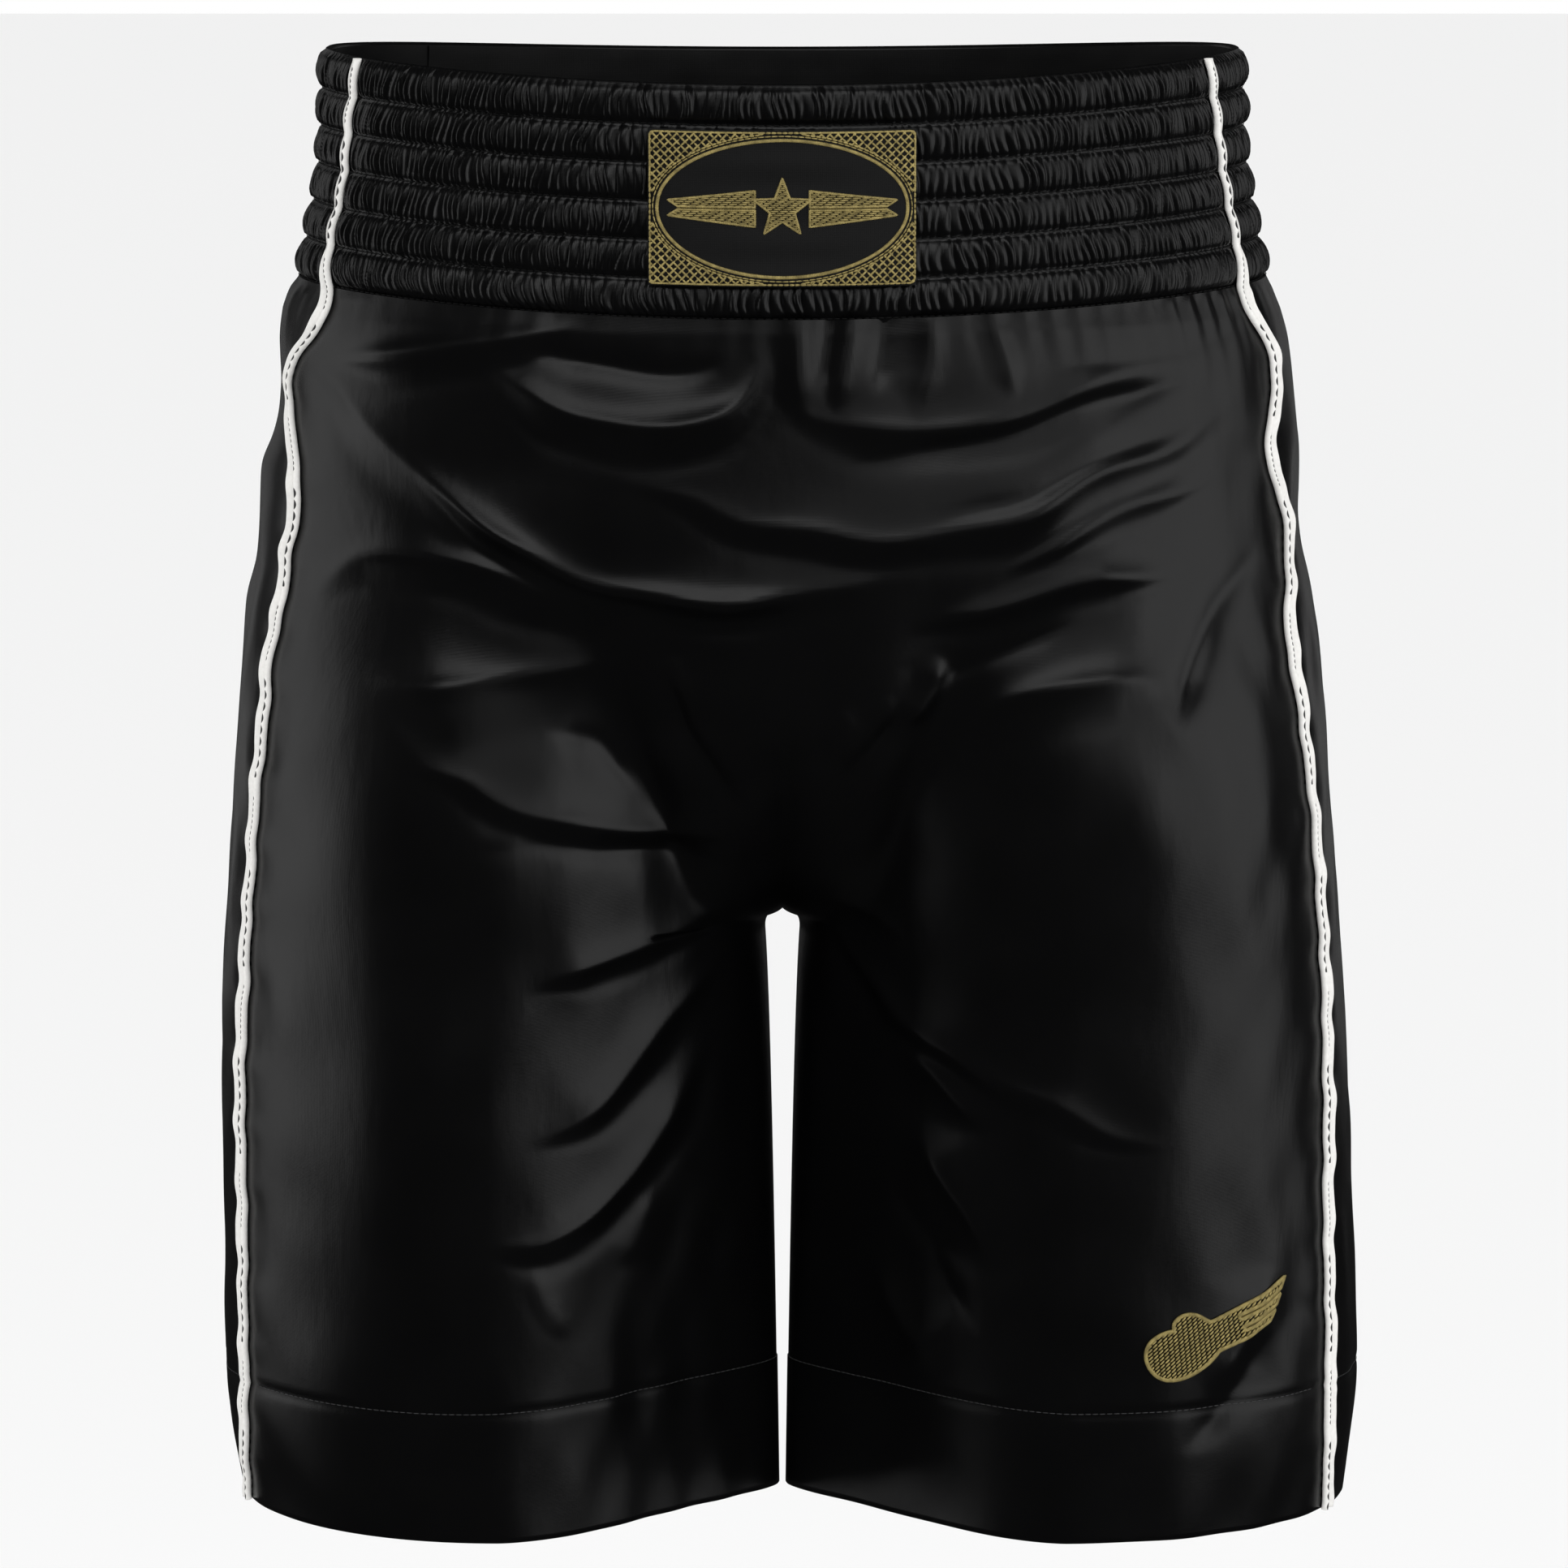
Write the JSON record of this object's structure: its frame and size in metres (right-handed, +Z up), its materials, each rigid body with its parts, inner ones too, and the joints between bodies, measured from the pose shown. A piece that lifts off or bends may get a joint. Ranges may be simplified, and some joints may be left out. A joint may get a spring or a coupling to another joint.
{
  "type": "boxing shorts",
  "caption": "Satin boxing trunks with a shirred elastic waistband, corded side piping, a woven waist label and an embroidered leg emblem.",
  "frame": {"origin": "centre of the waist opening, at the height of its top edge over the hips", "axes": "+Z up towards the waist, +X towards the wearer's left, the front faces -Y"},
  "size_m": [0.4358, 0.2186, 0.5534],
  "materials": {
    "satin": "glossy polyester satin, warp-faced",
    "shirred_satin": "the same satin, gathered into puckers",
    "facing_cloth": "smooth matt lining cloth",
    "elastic": "braided elastic webbing",
    "piping_tape": "white woven tape with small printed marks",
    "filler_cord": "soft twisted cotton cord",
    "woven_label": "black woven patch with gold thread corners",
    "gold_thread": "metallic gold embroidery thread",
    "sewing_thread": "black sewing thread"
  },
  "bodies": {
    "root": {"front_panel_left": "satin", "back_panel_left": "satin", "piping_tape_left": "piping_tape", "piping_cord_left": "filler_cord", "hem_stitching_left": "sewing_thread", "front_panel_right": "satin", "back_panel_right": "satin", "piping_tape_right": "piping_tape", "piping_cord_right": "filler_cord", "hem_stitching_right": "sewing_thread", "waistband_front": "shirred_satin", "waistband_back": "shirred_satin", "waistband_facing": "facing_cloth", "elastic_band_1": "elastic", "elastic_band_2": "elastic", "elastic_band_3": "elastic", "elastic_band_4": "elastic", "elastic_band_5": "elastic", "elastic_band_6": "elastic", "channel_stitching_1": "sewing_thread", "channel_stitching_2": "sewing_thread", "channel_stitching_3": "sewing_thread", "channel_stitching_4": "sewing_thread", "channel_stitching_5": "sewing_thread", "waist_seam_stitching": "sewing_thread", "waist_label": "woven_label", "label_oval": "gold_thread", "label_star": "gold_thread", "leg_emblem": "gold_thread"}
  },
  "joints": []
}
